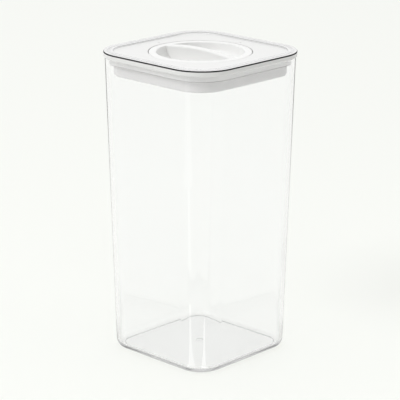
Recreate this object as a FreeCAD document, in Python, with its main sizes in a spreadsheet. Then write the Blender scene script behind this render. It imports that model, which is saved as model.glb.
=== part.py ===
import FreeCAD, Part
import math
import os
import re
import Sketcher

# Storage canister with a twist-to-seal lid, in millimetres.
# +Z is up, the canister stands on z = 0 and its axis is the Z axis.
# At rest the lid sits on the canister, the grip bar of the dial lies along Y and the seal is relaxed.
# The dial turns clockwise, seen from above: its cam ribs then lift the hooks of the pressure plate.

# Driving dimensions

SIZES = {
    # canister body: clear drafted box with a thick floor, on a foot ring
    "canister_height": 212.2,
    "canister_side": 108.1,
    "canister_corner": 25.5,
    "wall_draft": 1.71,
    "wall_thickness": 2.2,
    "floor_thickness": 3.3,
    "base_fillet": 5.5,
    "floor_fillet": 2.5,
    "mouth_fillet": 0.7,
    "foot_width": 1.5,
    "foot_recess": 0.6,
    "gate_radius": 3.0,
    "gate_depth": 0.4,
    # gasket: silicone ring of C section, open towards the guide wall
    "gasket_wall_gap": 0.7,
    "gasket_width": 5.6,
    "gasket_height": 4.6,
    "gasket_clearance": 0.05,
    "gasket_lip": 1.4,
    "gasket_skin": 1.8,
    "gasket_fillet": 0.9,
    # lid body: rim that rests on the canister, panel, guide wall, well and ledge for the dial
    "lid_overhang": 0.95,
    "flange_thickness": 2.9,
    "flange_fillet": 0.5,
    "panel_thickness": 2.0,
    "guide_wall": 2.0,
    "guide_headroom": 1.3,
    "collar_wall": 2.0,
    "ledge_thickness": 2.2,
    "panel_rib_width": 1.4,
    "panel_rib_depth": 1.8,
    "index_gap": 4.35,
    "index_dot_radius": 0.9,
    "index_dot_depth": 0.4,
    # clear frame on top of the lid, with a key that sits in a groove of the lid
    "frame_thickness": 1.0,
    "frame_width": 6.8,
    "frame_fillet": 0.35,
    "key_inset": 2.8,
    "key_width": 1.0,
    "key_depth": 0.8,
    "key_clearance": 0.1,
    # hook ring on the pressure plate
    "hook_ring_gap": 2.0,
    "hook_ring_width": 5.0,
    "hook_ring_thickness": 1.2,
    "hook_wall": 1.8,
    "hook_side_clearance": 0.4,
    "hook_angle": 10.0,
    "hook_pad_thickness": 1.6,
    "hook_headroom": 0.5,
    # cam disc below the dial, with helical ribs
    "turn_angle": 90.0,
    "seal_travel": 1.2,
    "rib_reach": 2.2,
    "rib_embed": 0.6,
    "rib_thickness": 1.8,
    "rib_margin_angle": 6.0,
    "cam_clearance": 0.1,
    "cam_rim_wall": 1.5,
    "cam_rim_clearance": 0.48,
    "cam_rim_gap": 0.1,
    "cam_web_thickness": 1.6,
    # washer and O-ring between dial and lid
    "washer_thickness": 0.4,
    "washer_width": 2.0,
    "washer_clearance": 0.06,
    "ring_seal_section": 1.16,
    "ring_seal_clearance": 0.05,
    "ring_seal_play": 0.06,
    # dial: ring, hub, bowl with two finger pockets, arched grip bar, stop lug
    "hub_clearance": 0.08,
    "hub_wall": 1.42,
    "hub_tail": 1.5,
    "foot_taper": 4.92,
    "dial_ring_thickness": 2.2,
    "dial_ring_edge": 0.25,
    "dial_gap": 0.6,
    "dial_edge_fillet": 0.5,
    "dial_wall": 1.8,
    "lug_gap": 0.52,
    "lug_width": 1.0,
    "lug_drop": 1.3,
    "lug_angle": 10.0,
    "stop_clearance": 0.3,
    "stop_clearance_angle": 0.3,
    "pocket_depth": 8.5,
    "pocket_draft": 14.0,
    "pocket_fillet": 5.5,
    "pocket_edge_fillet": 0.7,
    "bar_width": 6.5,
    "bar_rise": 2.2,
    "bar_round": 1.1,
    "bar_embed": 0.4,
    "bar_core_width": 3.0,
    "bar_core_roof": 2.4,
    "bar_core_wall": 3.3,
    # pressure plate: tray with bosses for the hook ring
    "plate_clearance": 0.5,
    "plate_wall": 2.0,
    "plate_floor": 1.4,
    "plate_headroom": 0.9,
    "plate_edge_fillet": 1.5,
    "plate_rim_fillet": 0.3,
    "boss_height": 2.5,
    "boss_radius": 2.3,
    # screws
    "screw_clearance": 0.05,
    "pilot_spare": 0.3,
    "cam_screw_place": 16.0,
    "cam_screw_radius": 1.2,
    "cam_screw_length": 8.0,
    "cam_screw_head_radius": 2.3,
    "cam_screw_head_height": 1.2,
    "ring_screw_radius": 1.0,
    "ring_screw_length": 3.7,
    "ring_screw_head_radius": 1.8,
    "ring_screw_crown_radius": 1.5,
    "ring_screw_head_height": 1.2,
    "drive_width": 0.5,
    "drive_length": 2.0,
    "drive_depth": 0.6,
    # how far a cutting shape runs past what it cuts
    "overrun": 1.0,
}

# Sizes and heights that follow from them; a name in _z is a height above the ground

DERIVED = {
    # canister body
    "canister_half": "canister_side / 2",
    "draft_in": "canister_height * tan(wall_draft)",
    "base_half": "canister_half - draft_in",
    "base_corner": "canister_corner - draft_in",
    "mouth_half": "canister_half - wall_thickness",
    "mouth_corner": "canister_corner - wall_thickness",
    "foot_half": "base_half - base_fillet - foot_width",
    "foot_corner": "base_corner - base_fillet - foot_width",
    # gasket, guide wall and plate, from the canister's mouth inwards
    "gasket_half": "mouth_half - gasket_wall_gap",
    "gasket_corner": "mouth_corner - gasket_wall_gap",
    "gasket_hollow_half": "gasket_half - gasket_skin",
    "gasket_hollow_corner": "gasket_corner - gasket_skin",
    "gasket_inner_half": "gasket_half - gasket_width",
    "gasket_inner_corner": "gasket_corner - gasket_width",
    "guide_half": "gasket_inner_half - gasket_clearance",
    "guide_corner": "gasket_inner_corner - gasket_clearance",
    "guide_inner_half": "guide_half - guide_wall",
    "guide_inner_corner": "guide_corner - guide_wall",
    "guide_inner_diagonal": "(guide_inner_half - guide_inner_corner) * sqrt(2) + guide_inner_corner",
    "plate_inner_half": "guide_half + plate_clearance",
    "plate_inner_corner": "guide_corner + plate_clearance",
    "plate_half": "plate_inner_half + plate_wall",
    "plate_corner": "plate_inner_corner + plate_wall",
    # the mechanism, from the guide wall inwards
    "hook_ring_radius": "guide_inner_half - hook_ring_gap",
    "hook_radius": "hook_ring_radius - hook_ring_width",
    "hook_outer_radius": "hook_radius + hook_wall",
    "rib_radius": "hook_radius - hook_side_clearance",
    "cam_outer_radius": "rib_radius - rib_reach",
    "hook_pad_radius": "cam_outer_radius + hook_side_clearance",
    "cam_inner_radius": "cam_outer_radius - cam_rim_wall",
    "hub_radius": "cam_inner_radius - cam_rim_clearance",
    "ledge_radius": "hub_radius + hub_clearance",
    "washer_inner_radius": "hub_radius + washer_clearance",
    "washer_outer_radius": "washer_inner_radius + washer_width",
    "lug_inner_radius": "washer_outer_radius + lug_gap",
    "lug_outer_radius": "lug_inner_radius + lug_width",
    "dial_radius": "lug_outer_radius + dial_ring_edge",
    "well_radius": "dial_radius + dial_gap",
    "collar_radius": "well_radius + collar_wall",
    "index_radius": "well_radius + index_gap",
    "pocket_radius": "hub_radius - hub_wall",
    "pocket_floor_radius": "pocket_radius - pocket_depth * tan(pocket_draft)",
    "dial_foot_radius": "hub_radius - foot_taper",
    "seal_section_radius": "ring_seal_section / 2",
    "seal_middle_radius": "ledge_radius - ring_seal_clearance - seal_section_radius",
    "seal_groove_radius": "seal_middle_radius - seal_section_radius - ring_seal_play",
    "ring_screw_place": "hook_ring_radius - ring_screw_head_radius",
    # lid and frame
    "lid_half": "canister_half + lid_overhang",
    "lid_corner": "canister_corner + lid_overhang",
    "frame_inner_half": "lid_half - frame_width",
    "frame_inner_corner": "lid_corner - frame_width",
    "key_half": "lid_half - key_inset",
    "key_corner": "lid_corner - key_inset",
    # heights, from the lid's panel downwards
    "panel_z": "canister_height + flange_thickness",
    "panel_under_z": "panel_z - panel_thickness",
    "frame_top_z": "panel_z + frame_thickness",
    "ring_under_z": "panel_z - dial_ring_thickness",
    "lug_bottom_z": "ring_under_z - lug_drop",
    "ledge_top_z": "ring_under_z - washer_thickness",
    "ledge_bottom_z": "ledge_top_z - ledge_thickness",
    "seal_z": "(ledge_top_z + ledge_bottom_z) / 2",
    "seal_groove_low_z": "seal_z - seal_section_radius - ring_seal_play",
    "seal_groove_high_z": "seal_z + seal_section_radius + ring_seal_play",
    "hub_bottom_z": "ledge_bottom_z - hub_tail",
    "cam_top_z": "ledge_bottom_z - cam_rim_gap",
    "pocket_floor_z": "panel_z - pocket_depth",
    "dial_bottom_z": "pocket_floor_z - dial_wall",
    "cam_bottom_z": "dial_bottom_z - cam_web_thickness",
    "hook_top_z": "ledge_bottom_z - seal_travel - hook_headroom",
    "hook_pad_z": "hook_top_z - hook_pad_thickness",
    "plate_floor_z": "cam_bottom_z - seal_travel - plate_headroom",
    "plate_bottom_z": "plate_floor_z - plate_floor",
    "boss_top_z": "plate_floor_z + boss_height",
    "hook_ring_top_z": "boss_top_z + hook_ring_thickness",
    "ring_screw_top_z": "hook_ring_top_z + ring_screw_head_height",
    "guide_bottom_z": "plate_floor_z + seal_travel + guide_headroom",
    "gasket_bottom_z": "canister_height - gasket_height",
    # cam ribs: their top rises by the seal's travel in the dial's turn
    "cam_lead": "seal_travel * 360 / turn_angle",
    "rib_span_angle": "turn_angle + 2 * rib_margin_angle",
    "rib_start_z": "hook_pad_z - cam_clearance - cam_lead * (rib_margin_angle + hook_angle / 2) / 360",
    "rib_under_z": "rib_start_z - rib_thickness",
    "rib_root_radius": "cam_outer_radius - rib_embed",
    # grip bar: its top is an arc from rim to rim of the bowl
    "bar_half": "bar_width / 2",
    "bar_half_length": "pocket_radius + bar_embed",
    "bar_top_z": "panel_z + bar_rise",
    "bar_root_z": "panel_z - bar_rise",
    "bar_cap_z": "bar_root_z - 2 * bar_round",
    "bar_arc_radius": "(bar_half_length * bar_half_length + bar_rise * bar_rise) / (2 * bar_rise)",
    "bar_core_top_z": "panel_z - bar_core_roof",
    "bar_core_reach": "cam_screw_place - cam_screw_radius - bar_core_wall",
}

# Directions round the axis, in degrees, and counts

HOOK_DIRECTION = 30.0
SLOT_DIRECTION = 90.0
DIAGONAL = 45.0
FULL_TURN = 360.0
HOOK_COUNT = 3
SIDE_COUNT = 4
PAIR = 2

# Share of the canister's side within which two coordinates count as the same
SNAP_SHARE = 0.00001

NODES = ("canister_body", "lid_body", "rim_frame", "dial", "thrust_washer", "dial_seal", "cam_disc",
         "cam_screws", "hook_ring", "ring_screws", "pressure_plate", "gasket")
SCREW_COUNTS = {"cam_screws": PAIR, "ring_screws": HOOK_COUNT}

UP = FreeCAD.Vector(0, 0, 1)

doc = FreeCAD.newDocument("storage_canister")
sheet = doc.addObject("Spreadsheet::Sheet", "sizes")
driving = {name: str(number) for name, number in SIZES.items()}
following = {name: f"={formula}" for name, formula in DERIVED.items()}
for row, (name, content) in enumerate({**driving, **following}.items(), 1):
    sheet.set(f"A{row}", name)
    sheet.set(f"B{row}", content)
    sheet.setAlias(f"B{row}", name)
doc.recompute()


# Formulas of size names

def size(formula):
    """Number that a sum of size names gives; no formula is zero."""
    total = 0.0
    for sign, factor, name in re.findall(r"([+-]?)\s*(?:(\d+)\s*\*\s*)?([a-z_]+)", formula or ""):
        term = float(getattr(sheet, name)) * int(factor or 1)
        total += -term if sign == "-" else term
    return total


def bound(formula):
    """The same formula for another object, with each name as a cell of the sheet."""
    return re.sub(r"[a-z_]{2,}", lambda found: f"sizes.{found.group()}", formula)


def bind(thing, **formulas):
    """Ties properties of an object to sizes; a double underscore stands for a point."""
    for prop, formula in formulas.items():
        thing.setExpression(prop.replace("__", "."), bound(formula))


# Bodies and sketches

def new_body(name):
    """Empty body of one sub-part."""
    body = doc.addObject("PartDesign::Body", name)
    body.Label = name
    return body


def origin_part(body, role):
    """Origin plane or axis of a body."""
    return next(item for item in body.Origin.OriginFeatures if item.Role == role)


def new_sketch(body, name, role="XY_Plane", level=None, direction=0.0):
    """Sketch on an origin plane, raised to a level or turned round the Z axis."""
    sketch = body.newObject("Sketcher::SketchObject", f"{body.Name}_{name}")
    sketch.AttachmentSupport = (origin_part(body, role), [""])
    sketch.MapMode = "FlatFace"
    if direction:
        rotation = FreeCAD.Rotation(FreeCAD.Vector(0, 1, 0), direction)
        sketch.AttachmentOffset = FreeCAD.Placement(FreeCAD.Vector(), rotation)
    if level:
        bind(sketch, AttachmentOffset__Base__z=level)
    return sketch


def tie(sketch, kind, *where, formula):
    """Dimension of a sketch, bound to sizes."""
    index = sketch.addConstraint(Sketcher.Constraint(kind, *where, size(formula)))
    sketch.setExpression(f"Constraints[{index}]", bound(formula))


def place_point(sketch, element, point, along, up):
    """Puts a point at a distance along and a distance up; None keeps it on the axis."""
    if along:
        tie(sketch, "DistanceX", -1, 1, element, point, formula=along)
    else:
        sketch.addConstraint(Sketcher.Constraint("PointOnObject", element, point, -2))
    if up:
        tie(sketch, "DistanceY", -1, 1, element, point, formula=up)
    else:
        sketch.addConstraint(Sketcher.Constraint("PointOnObject", element, point, -1))


def outline(body, name, points, role="XZ_Plane", direction=0.0):
    """Sketch of a closed outline through points, each a distance along and a height."""
    sketch = new_sketch(body, name, role, direction=direction)
    spots = [FreeCAD.Vector(size(along), size(up), 0) for along, up in points]
    for number, spot in enumerate(spots):
        sketch.addGeometry(Part.LineSegment(spot, spots[(number + 1) % len(spots)]), False)
    for number, (along, up) in enumerate(points):
        after = (number + 1) % len(points)
        sketch.addConstraint(Sketcher.Constraint("Coincident", number, 2, after, 1))
        place_point(sketch, number, 1, along, up)
    return sketch


def circles(body, name, level, *spots):
    """Flat sketch of circles, each a place along X, a place along Y and a radius."""
    sketch = new_sketch(body, name, level=level)
    for along, up, radius in spots:
        centre = FreeCAD.Vector(size(along), size(up), 0)
        index = sketch.addGeometry(Part.Circle(centre, UP, size(radius)), False)
        tie(sketch, "Radius", index, formula=radius)
        place_point(sketch, index, 3, along, up)
    return sketch


def rounded_loop(sketch, half, top, bottom, corner):
    """Rounded rectangle from -half to half and from bottom to top; no bottom means -top."""
    across, high, radius = size(half), size(top), size(corner)
    low = size(bottom) if bottom else -high
    first = sketch.GeometryCount
    right, left = across - radius, radius - across
    upper, lower = high - radius, low + radius
    arcs = []
    for quarter, (x, y) in enumerate(((right, upper), (left, upper), (left, lower), (right, lower))):
        circle = Part.Circle(FreeCAD.Vector(x, y, 0), UP, radius)
        arcs.append(Part.ArcOfCircle(circle, quarter * math.pi / 2, (quarter + 1) * math.pi / 2))
    for quarter, arc in enumerate(arcs):
        sketch.addGeometry(arc, False)
        sketch.addGeometry(Part.LineSegment(arc.EndPoint, arcs[(quarter + 1) % 4].StartPoint), False)
    for quarter in range(4):
        arc, line = first + 2 * quarter, first + 2 * quarter + 1
        after = first + (2 * quarter + 2) % 8
        sketch.addConstraint(Sketcher.Constraint("Tangent", arc, 2, line, 1))
        sketch.addConstraint(Sketcher.Constraint("Tangent", line, 2, after, 1))
        sketch.addConstraint(Sketcher.Constraint("Vertical" if quarter % 2 else "Horizontal", line))
        if quarter:
            sketch.addConstraint(Sketcher.Constraint("Equal", first, arc))
    tie(sketch, "Radius", first, formula=corner)
    tie(sketch, "DistanceX", -1, 1, first + 7, 1, formula=half)
    tie(sketch, "DistanceX", first + 3, 1, -1, 1, formula=half)
    tie(sketch, "DistanceY", -1, 1, first + 1, 1, formula=top)
    if bottom:
        tie(sketch, "DistanceY", -1, 1, first + 5, 1, formula=bottom)
    else:
        tie(sketch, "DistanceY", first + 5, 1, -1, 1, formula=top)


def rounded_square(body, name, level, *loops):
    """Flat sketch of one or two concentric rounded squares, each a half side and a corner."""
    sketch = new_sketch(body, name, level=level)
    for half, corner in loops:
        rounded_loop(sketch, half, half, None, corner)
    return sketch


# Features, each checked to add or to take away material

def solid_volume(body):
    """Volume of a body so far."""
    return body.Tip.Shape.Volume if body.Tip else 0.0


def make(body, kind, name, sketch, options, **formulas):
    """Feature on a sketch, which has to change the volume the way its kind says."""
    before = solid_volume(body)
    made = body.newObject(f"PartDesign::{kind}", f"{body.Name}_{name}")
    made.Profile = sketch
    for prop, value in options.items():
        setattr(made, prop, value)
    bind(made, **formulas)
    doc.recompute()
    change = made.Shape.Volume - before
    if change == 0 or (change > 0) != (kind in ("Pad", "Revolution", "AdditiveHelix")):
        raise RuntimeError(f"{made.Name} changes the volume by {change}")
    return made


def pad(body, name, sketch, length, down=False):
    """Pad upwards from its sketch, or downwards."""
    return make(body, "Pad", name, sketch, {"Reversed": down}, Length=length)


def pocket(body, name, sketch, length, up=False):
    """Pocket downwards from its sketch, or upwards."""
    return make(body, "Pocket", name, sketch, {"Reversed": up}, Length=length)


def turned(body, name, sketch, angle=None, cut=False):
    """Solid or groove of revolution: a full turn, or a sector on both sides of its sketch."""
    options = {"ReferenceAxis": (sketch, ["V_Axis"])}
    kind = "Groove" if cut else "Revolution"
    if angle:
        return make(body, kind, name, sketch, {**options, "Midplane": True}, Angle=angle)
    return make(body, kind, name, sketch, options)


def repeat(body, name, originals, count):
    """Copies of features, evenly round the Z axis."""
    made = body.newObject("PartDesign::PolarPattern", f"{body.Name}_{name}")
    made.Originals = originals
    made.Axis = (origin_part(body, "Z_Axis"), [""])
    made.Angle = FULL_TURN
    made.Occurrences = count
    body.Tip = made
    doc.recompute()


def round_edges(body, name, radius, level, low=None, high=None):
    """Fillet on the edges that lie flat at a level, between two distances from the axis."""
    close = SNAP_SHARE * size("canister_side")
    base = body.Tip
    chosen = []
    for number, edge in enumerate(base.Shape.Edges, 1):
        box = edge.BoundBox
        middle = edge.valueAt((edge.FirstParameter + edge.LastParameter) / 2)
        away = math.hypot(middle.x, middle.y)
        flat = abs(box.ZMin - size(level)) < close and abs(box.ZMax - size(level)) < close
        if flat and (not low or away > size(low)) and (not high or away < size(high)):
            chosen.append(f"Edge{number}")
    made = body.newObject("PartDesign::Fillet", f"{body.Name}_{name}")
    made.Base = (base, chosen)
    bind(made, Radius=radius)
    doc.recompute()


def primitive(body, kind, name, place, **formulas):
    """Additive or subtractive primitive on a vertical axis at a place along Y."""
    made = body.newObject(f"PartDesign::{kind}", f"{body.Name}_{name}")
    made.AttachmentSupport = (origin_part(body, "XY_Plane"), [""])
    made.MapMode = "FlatFace"
    bind(made, AttachmentOffset__Base__y=place, **formulas)
    doc.recompute()
    return made


# Canister body

canister = new_body("canister_body")
base = rounded_square(canister, "base", None, ("base_half", "base_corner"))
make(canister, "Pad", "walls", base, {}, Length="canister_height", TaperAngle="wall_draft")
mouth = rounded_square(canister, "mouth", "canister_height", ("mouth_half", "mouth_corner"))
make(canister, "Pocket", "cavity", mouth, {}, Length="canister_height - floor_thickness",
     TaperAngle="-wall_draft")
round_edges(canister, "base_round", "base_fillet", None)
round_edges(canister, "floor_round", "floor_fillet", "floor_thickness")
round_edges(canister, "mouth_round", "mouth_fillet", "canister_height")
foot = rounded_square(canister, "foot", None, ("foot_half", "foot_corner"))
pocket(canister, "foot_ring", foot, "foot_recess", up=True)
gate = circles(canister, "gate", "floor_thickness", (None, None, "gate_radius"))
pocket(canister, "gate_dimple", gate, "gate_depth")

# Lid body

lid = new_body("lid_body")
flange = rounded_square(lid, "flange", "canister_height", ("lid_half", "lid_corner"))
pad(lid, "plate", flange, "flange_thickness")
under = rounded_square(lid, "under", "canister_height", ("guide_inner_half", "guide_inner_corner"))
pocket(lid, "thinning", under, "flange_thickness - panel_thickness", up=True)
guide = rounded_square(lid, "guide", "guide_bottom_z", ("guide_half", "guide_corner"),
                       ("guide_inner_half", "guide_inner_corner"))
pad(lid, "guide_wall", guide, "panel_under_z - guide_bottom_z")
collar = circles(lid, "collar", "ledge_bottom_z", (None, None, "collar_radius"))
pad(lid, "collar_block", collar, "panel_under_z - ledge_bottom_z")
for name, reach, direction in (("side_ribs", "guide_inner_half", 0.0),
                               ("corner_ribs", "guide_inner_diagonal", DIAGONAL)):
    web = outline(lid, f"{name}_web", [
        ("well_radius", "panel_under_z"), (reach, "panel_under_z"),
        (reach, "panel_under_z - panel_rib_depth"), ("well_radius", "panel_under_z - panel_rib_depth"),
    ], direction=direction)
    rib = make(lid, "Pad", f"{name}_first", web, {"Midplane": True}, Length="panel_rib_width")
    repeat(lid, name, [rib], SIDE_COUNT)
well = circles(lid, "well", "panel_z", (None, None, "well_radius"))
pocket(lid, "well_cut", well, "panel_z - ledge_top_z")
bore = circles(lid, "bore", "panel_z", (None, None, "ledge_radius"))
pocket(lid, "bore_cut", bore, "panel_z - ledge_bottom_z + overrun")
slot = outline(lid, "stop_slot", [
    ("lug_inner_radius - stop_clearance", "lug_bottom_z - stop_clearance"),
    ("lug_outer_radius + stop_clearance", "lug_bottom_z - stop_clearance"),
    ("lug_outer_radius + stop_clearance", "ledge_top_z + overrun"),
    ("lug_inner_radius - stop_clearance", "ledge_top_z + overrun"),
], direction=SLOT_DIRECTION)
turned(lid, "stop_slot_cut", slot, "turn_angle + lug_angle + 2 * stop_clearance_angle", cut=True)
groove = rounded_square(lid, "groove", "panel_z",
                        ("key_half + key_clearance", "key_corner + key_clearance"),
                        ("key_half - key_width - key_clearance", "key_corner - key_width - key_clearance"))
pocket(lid, "key_groove", groove, "key_depth + key_clearance")
dots = circles(lid, "dots", "panel_z", ("index_radius", None, "index_dot_radius"),
               (None, "index_radius", "index_dot_radius"))
pocket(lid, "index_dots", dots, "index_dot_depth")
round_edges(lid, "flange_round", "flange_fillet", "canister_height", low="gasket_half")

# Clear frame

frame = new_body("rim_frame")
band = rounded_square(frame, "band", "panel_z", ("lid_half", "lid_corner"),
                      ("frame_inner_half", "frame_inner_corner"))
pad(frame, "plate", band, "frame_thickness")
key = rounded_square(frame, "key", "panel_z", ("key_half", "key_corner"),
                     ("key_half - key_width", "key_corner - key_width"))
pad(frame, "key_ring", key, "key_depth", down=True)
round_edges(frame, "top_round", "frame_fillet", "frame_top_z")

# Tool that cuts the two finger pockets: a bowl, less the slot that leaves the grip bar standing

pockets = new_body("finger_pockets")
bowl = outline(pockets, "bowl", [
    (None, "pocket_floor_z"), ("pocket_floor_radius", "pocket_floor_z"), ("pocket_radius", "panel_z"),
    ("pocket_radius + overrun", "panel_z"), ("pocket_radius + overrun", "bar_top_z + overrun"),
    (None, "bar_top_z + overrun")])
turned(pockets, "bowl_turned", bowl)
round_edges(pockets, "floor_round", "pocket_fillet", "pocket_floor_z")
round_edges(pockets, "edge_round", "pocket_edge_fillet", "panel_z",
            high="pocket_radius + pocket_edge_fillet")
bar_side = outline(pockets, "bar_side", [
    (None, "pocket_floor_z - overrun"), ("bar_half", "pocket_floor_z - overrun"),
    ("bar_half", "bar_top_z + 2 * overrun"), (None, "bar_top_z + 2 * overrun")])
bar_slot = make(pockets, "Pocket", "bar_slot", bar_side, {"Midplane": True}, Length="2 * dial_radius")
repeat(pockets, "bar_slot_pair", [bar_slot], PAIR)

# Dial

dial = new_body("dial")
section = outline(dial, "section", [
    (None, "dial_bottom_z"), ("dial_foot_radius", "dial_bottom_z"), ("hub_radius", "hub_bottom_z"),
    ("hub_radius", "seal_groove_low_z"), ("seal_groove_radius", "seal_groove_low_z"),
    ("seal_groove_radius", "seal_groove_high_z"), ("hub_radius", "seal_groove_high_z"),
    ("hub_radius", "ring_under_z"), ("dial_radius", "ring_under_z"), ("dial_radius", "panel_z"),
    ("pocket_radius", "panel_z"), ("pocket_radius", "bar_root_z"), (None, "bar_root_z")])
turned(dial, "ring_and_hub", section)
cap = new_sketch(dial, "bar_section", "XZ_Plane")
rounded_loop(cap, "bar_half", "bar_top_z", "bar_cap_z", "bar_round")
arc_height = size("bar_top_z - bar_arc_radius")
axis_ends = [FreeCAD.Vector(along, arc_height, 0) for along in (0, size("bar_half"))]
axis_line = cap.addGeometry(Part.LineSegment(*axis_ends), True)
cap.addConstraint(Sketcher.Constraint("Horizontal", axis_line))
cap.addConstraint(Sketcher.Constraint("PointOnObject", axis_line, 1, -2))
tie(cap, "DistanceX", axis_line, 1, axis_line, 2, formula="bar_half")
tie(cap, "DistanceY", axis_line, 1, -1, 1, formula="bar_arc_radius - bar_top_z")
arch = make(dial, "Revolution", "bar_arch", cap, {"ReferenceAxis": (cap, ["Axis0"]), "Midplane": True})
arch.setExpression("Angle", "2 * asin(sizes.bar_half_length / sizes.bar_arc_radius)")
hollows = dial.newObject("PartDesign::Boolean", "dial_finger_pockets")
hollows.setObjects([pockets])
hollows.Type = "Cut"
core = outline(dial, "core", [
    (None, "dial_bottom_z - overrun"), ("bar_core_reach", "dial_bottom_z - overrun"),
    ("bar_core_reach", "bar_core_top_z"), (None, "bar_core_top_z")], role="YZ_Plane")
doc.recompute()
half_core = make(dial, "Pocket", "half_core", core, {"Midplane": True}, Length="bar_core_width")
repeat(dial, "bar_core", [half_core], PAIR)
pilot = circles(dial, "pilot", "dial_bottom_z",
                (None, "cam_screw_place", "cam_screw_radius + screw_clearance"))
pilot_hole = pocket(dial, "pilot_hole", pilot,
                    "cam_screw_length - cam_web_thickness + pilot_spare", up=True)
repeat(dial, "pilot_holes", [pilot_hole], PAIR)
lug = outline(dial, "lug", [
    ("lug_inner_radius", "lug_bottom_z"), ("lug_outer_radius", "lug_bottom_z"),
    ("lug_outer_radius", "panel_z - dial_edge_fillet"), ("lug_inner_radius", "panel_z - dial_edge_fillet"),
], direction=SLOT_DIRECTION + SIZES["turn_angle"] / 2)
turned(dial, "stop_lug", lug, "lug_angle")
round_edges(dial, "edge_round", "dial_edge_fillet", "panel_z", low="lug_outer_radius")

# Washer and O-ring

washer = new_body("thrust_washer")
washer_section = outline(washer, "section", [
    ("washer_inner_radius", "ledge_top_z"), ("washer_outer_radius", "ledge_top_z"),
    ("washer_outer_radius", "ring_under_z"), ("washer_inner_radius", "ring_under_z")])
turned(washer, "ring", washer_section)

seal = doc.addObject("Part::Torus", "dial_seal")
seal.Label = "dial_seal"
bind(seal, Radius1="seal_middle_radius", Radius2="seal_section_radius", Placement__Base__z="seal_z")

# Cam disc

cam = new_body("cam_disc")
cup = outline(cam, "cup", [
    (None, "cam_bottom_z"), ("cam_outer_radius", "cam_bottom_z"), ("cam_outer_radius", "cam_top_z"),
    ("cam_inner_radius", "cam_top_z"), ("cam_inner_radius", "dial_bottom_z"), (None, "dial_bottom_z")])
turned(cam, "web_and_rim", cup)
rib_section = outline(cam, "rib_section", [
    ("rib_root_radius", "rib_under_z"), ("rib_radius", "rib_under_z"),
    ("rib_radius", "rib_start_z"), ("rib_root_radius", "rib_start_z"),
], direction=HOOK_DIRECTION - SIZES["rib_margin_angle"])
helix = {"ReferenceAxis": (rib_section, ["V_Axis"]), "Mode": 1, "Angle": 0, "Growth": 0,
         "LeftHanded": False, "Reversed": False}
cam_rib = make(cam, "AdditiveHelix", "rib", rib_section, helix, Pitch="cam_lead",
               Turns=f"rib_span_angle / {FULL_TURN}")
repeat(cam, "ribs", [cam_rib], HOOK_COUNT)
through = circles(cam, "through", "cam_bottom_z",
                  (None, "cam_screw_place", "cam_screw_radius + screw_clearance"))
screw_hole = pocket(cam, "screw_hole", through, "cam_web_thickness + overrun", up=True)
repeat(cam, "screw_holes", [screw_hole], PAIR)
countersink = primitive(cam, "SubtractiveCone", "countersink", "cam_screw_place",
                        Radius1="cam_screw_head_radius + screw_clearance",
                        Radius2="cam_screw_radius + screw_clearance",
                        Height="cam_screw_head_height + screw_clearance",
                        AttachmentOffset__Base__z="cam_bottom_z")
repeat(cam, "countersinks", [countersink], PAIR)

# Hook ring

hooks = new_body("hook_ring")
flat = outline(hooks, "flat", [
    ("hook_radius", "boss_top_z"), ("hook_ring_radius", "boss_top_z"),
    ("hook_ring_radius", "hook_ring_top_z"), ("hook_radius", "hook_ring_top_z")])
turned(hooks, "ring", flat)
hook_section = outline(hooks, "hook_section", [
    ("hook_radius", "boss_top_z"), ("hook_outer_radius", "boss_top_z"), ("hook_outer_radius", "hook_top_z"),
    ("hook_pad_radius", "hook_top_z"), ("hook_pad_radius", "hook_pad_z"), ("hook_radius", "hook_pad_z"),
], direction=HOOK_DIRECTION)
hook = turned(hooks, "hook", hook_section, "hook_angle")
hook_screw = circles(hooks, "screw_place", "boss_top_z",
                     (None, "ring_screw_place", "ring_screw_radius + screw_clearance"))
hook_screw_hole = pocket(hooks, "screw_hole", hook_screw, "hook_ring_thickness", up=True)
repeat(hooks, "hooks_and_holes", [hook, hook_screw_hole], HOOK_COUNT)

# Pressure plate

plate = new_body("pressure_plate")
tray = rounded_square(plate, "tray", "plate_bottom_z", ("plate_half", "plate_corner"))
pad(plate, "block", tray, "gasket_bottom_z - plate_bottom_z")
inside = rounded_square(plate, "inside", "gasket_bottom_z", ("plate_inner_half", "plate_inner_corner"))
pocket(plate, "hollow", inside, "gasket_bottom_z - plate_floor_z")
round_edges(plate, "lower_round", "plate_edge_fillet", "plate_bottom_z")
round_edges(plate, "rim_round", "plate_rim_fillet", "gasket_bottom_z")
boss_base = circles(plate, "boss_base", "plate_floor_z", (None, "ring_screw_place", "boss_radius"))
boss = pad(plate, "boss", boss_base, "boss_height")
boss_bore = circles(plate, "boss_bore", "boss_top_z",
                    (None, "ring_screw_place", "ring_screw_radius + screw_clearance"))
boss_hole = pocket(plate, "boss_hole", boss_bore, "ring_screw_length - hook_ring_thickness + pilot_spare")
repeat(plate, "bosses", [boss, boss_hole], HOOK_COUNT)

# Gasket

gasket = new_body("gasket")
ring = rounded_square(gasket, "ring", "gasket_bottom_z", ("gasket_half", "gasket_corner"),
                      ("gasket_inner_half", "gasket_inner_corner"))
pad(gasket, "block", ring, "gasket_height")
channel = rounded_square(gasket, "channel", "gasket_bottom_z + gasket_lip",
                         ("gasket_hollow_half", "gasket_hollow_corner"))
pocket(gasket, "channel_cut", channel, "gasket_height - 2 * gasket_lip", up=True)
for name, level in (("upper_round", "canister_height"), ("lower_round", "gasket_bottom_z")):
    round_edges(gasket, name, "gasket_fillet", level, low="gasket_hollow_half")


# Screws, each a shaft, a conical head and a cross recess

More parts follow.
